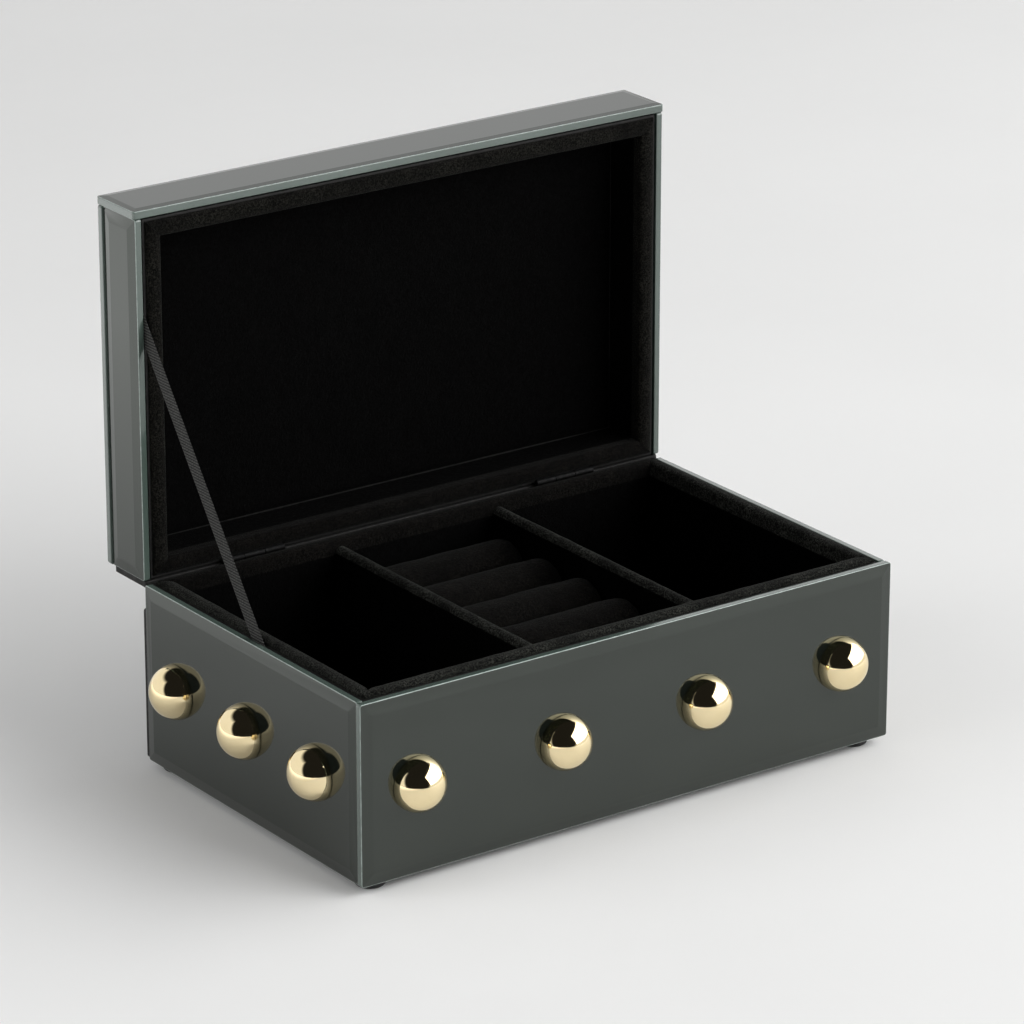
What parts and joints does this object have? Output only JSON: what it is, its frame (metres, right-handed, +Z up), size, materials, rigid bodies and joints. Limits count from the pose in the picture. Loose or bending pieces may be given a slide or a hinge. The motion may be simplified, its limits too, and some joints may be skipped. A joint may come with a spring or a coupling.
{
  "type": "jewelry box",
  "caption": "Rectangular jewelry box in smoked mirror glass with domed brass studs, a hinged lid on a ribbon stay, and velvet-lined compartments with ring rolls.",
  "frame": {"origin": "centre of the base's footprint on the table plane, under the feet", "axes": "+X to the right along the front, +Y from the front to the hinged back, +Z up; the lid is stored open at 90 degrees, as pictured"},
  "size_m": [0.272, 0.1872, 0.2272],
  "materials": {
    "smoked_mirror": "smoked mirror glass, polished, bevelled edges",
    "fibreboard": "black painted fibreboard",
    "velvet": "black velvet on card and padding",
    "felt": "black felt",
    "foot_rubber": "black rubber, matte",
    "stud_brass": "polished brass plate",
    "hinge_steel": "blackened steel",
    "ribbon": "black ribbed ribbon"
  },
  "bodies": {
    "base": {"base_glass_front": "smoked_mirror", "base_glass_back": "smoked_mirror", "base_glass_left": "smoked_mirror", "base_glass_right": "smoked_mirror", "base_floor": "fibreboard", "base_wall_front": "fibreboard", "base_wall_back": "fibreboard", "base_wall_left": "fibreboard", "base_wall_right": "fibreboard", "base_liner_front": "velvet", "base_liner_back": "velvet", "base_liner_left": "velvet", "base_liner_right": "velvet", "divider_left": "velvet", "divider_right": "velvet", "floor_pad_left": "velvet", "floor_pad_right": "velvet", "ring_platform": "velvet", "ring_roll_1": "velvet", "ring_roll_2": "velvet", "ring_roll_3": "velvet", "ring_roll_4": "velvet", "ring_roll_5": "velvet", "underside_cover": "felt", "foot_front_left": "foot_rubber", "foot_front_right": "foot_rubber", "foot_back_left": "foot_rubber", "foot_back_right": "foot_rubber", "studs_front": "stud_brass", "studs_left": "stud_brass", "studs_right": "stud_brass", "hinge_leaf_base_left": "hinge_steel", "hinge_leaf_base_right": "hinge_steel", "hinge_pin_left": "hinge_steel", "hinge_pin_right": "hinge_steel", "hinge_screws_base": "hinge_steel", "ribbon_stay": "ribbon"},
    "lid": {"lid_glass_top": "smoked_mirror", "lid_glass_front": "smoked_mirror", "lid_glass_back": "smoked_mirror", "lid_glass_left": "smoked_mirror", "lid_glass_right": "smoked_mirror", "lid_board": "fibreboard", "lid_wall_front": "fibreboard", "lid_wall_back": "fibreboard", "lid_wall_left": "fibreboard", "lid_wall_right": "fibreboard", "lid_liner_front": "velvet", "lid_liner_back": "velvet", "lid_liner_left": "velvet", "lid_liner_right": "velvet", "lid_pad": "velvet", "hinge_leaf_lid_left": "hinge_steel", "hinge_leaf_lid_right": "hinge_steel", "hinge_screws_lid": "hinge_steel"}
  },
  "joints": [
    {"name": "lid_hinge", "type": "hinge", "parent": "base", "child": "lid", "pos_m": [0, 0.07165, 0.07915], "axis": [1, 0, 0], "range_deg": [0, 90], "deforming": ["ribbon_stay"]}
  ]
}
